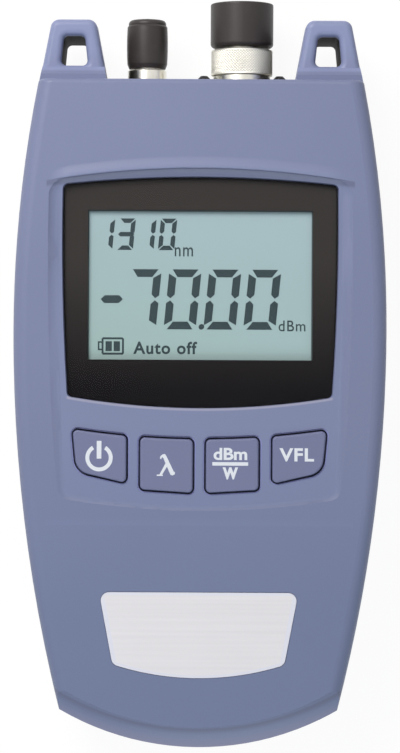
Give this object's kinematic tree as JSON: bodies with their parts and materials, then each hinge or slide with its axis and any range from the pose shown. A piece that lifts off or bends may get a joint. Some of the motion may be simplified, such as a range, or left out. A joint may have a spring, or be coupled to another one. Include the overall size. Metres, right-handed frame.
{
  "type": "optical power meter",
  "caption": "Handheld optical power meter with an arched front, display window, keys, lanyard ears, and capped detector and laser ports at one end.",
  "frame": {"origin": "on the flat back, on the centreline, at the housing's widest place", "axes": "+X across the meter to the right as its display is read, +Y along it towards the ports, +Z out of the display"},
  "size_m": [0.0804, 0.1617, 0.032],
  "materials": {
    "blue_grey_plastic": "satin",
    "black_plastic": "matt",
    "key_plastic": "satin",
    "clear_acrylic": "gloss",
    "black_print": "gloss",
    "plate_foil": "satin",
    "display_glass": "gloss",
    "white_plastic": "matt",
    "silicone": "matt",
    "cap_rubber": "satin",
    "board_green": "satin",
    "chip_black": "matt",
    "nickel": "satin",
    "tinned_steel": "satin",
    "black_steel": "satin",
    "screw_steel": "satin",
    "ceramic": "gloss",
    "cell_wrap": "gloss"
  },
  "bodies": {
    "housing": {"front_shell": "blue_grey_plastic", "rear_shell": "black_plastic", "housing_screws": "screw_steel", "batteries": "cell_wrap", "battery_plates": "tinned_steel", "battery_springs": "tinned_steel", "window_lens": "clear_acrylic", "window_print": "black_print", "lcd_glass": "display_glass", "lcd_holder": "white_plastic", "zebra_strips": "silicone", "backlight": "white_plastic", "main_board": "board_green", "board_screws": "screw_steel", "board_chips": "chip_black", "shield_can": "tinned_steel", "keypad_mat": "silicone", "dome_power": "silicone", "dome_wavelength": "silicone", "dome_unit": "silicone", "dome_laser": "silicone", "name_plate": "plate_foil", "detector_flange": "nickel", "flange_screws": "black_steel", "photodiode": "nickel", "laser_receptacle": "nickel", "laser_sleeve": "ceramic", "laser_nut": "nickel", "laser_module": "tinned_steel"},
    "power_key": {"key_power": "key_plastic"},
    "wavelength_key": {"key_wavelength": "key_plastic"},
    "unit_key": {"key_unit": "key_plastic"},
    "laser_key": {"key_laser": "key_plastic"},
    "door": {"battery_door": "black_plastic"},
    "adapter": {"detector_adapter": "nickel"},
    "ring": {"knurled_ring": "nickel"},
    "detector_dust_cap": {"detector_cap": "cap_rubber"},
    "laser_dust_cap": {"laser_cap": "cap_rubber"}
  },
  "joints": [
    {"name": "power_key_press", "type": "slide", "parent": "housing", "child": "power_key", "axis": [0, 0, -1], "range_m": [0, 0.0009], "stiffness_N_per_m": 900, "springref_m": -0.0006, "deforming": ["dome_power"]},
    {"name": "wavelength_key_press", "type": "slide", "parent": "housing", "child": "wavelength_key", "axis": [0, 0, -1], "range_m": [0, 0.0009], "stiffness_N_per_m": 900, "springref_m": -0.0006, "deforming": ["dome_wavelength"]},
    {"name": "unit_key_press", "type": "slide", "parent": "housing", "child": "unit_key", "axis": [0, 0, -1], "range_m": [0, 0.0009], "stiffness_N_per_m": 900, "springref_m": -0.0006, "deforming": ["dome_unit"]},
    {"name": "laser_key_press", "type": "slide", "parent": "housing", "child": "laser_key", "axis": [0, 0, -1], "range_m": [0, 0.0009], "stiffness_N_per_m": 900, "springref_m": -0.0006, "deforming": ["dome_laser"]},
    {"name": "door_slide", "type": "slide", "parent": "housing", "child": "door", "axis": [0, -1, 0], "range_m": [0, 0.078]},
    {"name": "ring_turn", "type": "hinge", "parent": "adapter", "child": "ring", "pos_m": [0.0089, 0.0592, 0.0115], "axis": [0, 1, 0], "range_deg": [0, 2160]},
    {"name": "adapter_out", "type": "slide", "parent": "housing", "child": "adapter", "axis": [0, 1, 0], "range_m": [0, 0.0046]},
    {"name": "detector_cap_pull", "type": "slide", "parent": "adapter", "child": "detector_dust_cap", "axis": [0, 1, 0], "range_m": [0, 0.03]},
    {"name": "laser_cap_pull", "type": "slide", "parent": "housing", "child": "laser_dust_cap", "axis": [0, 1, 0], "range_m": [0, 0.03]}
  ],
  "couplings": [
    {"joint": "adapter_out", "follows": "ring_turn", "m_per_rad": 0.00011937}
  ]
}
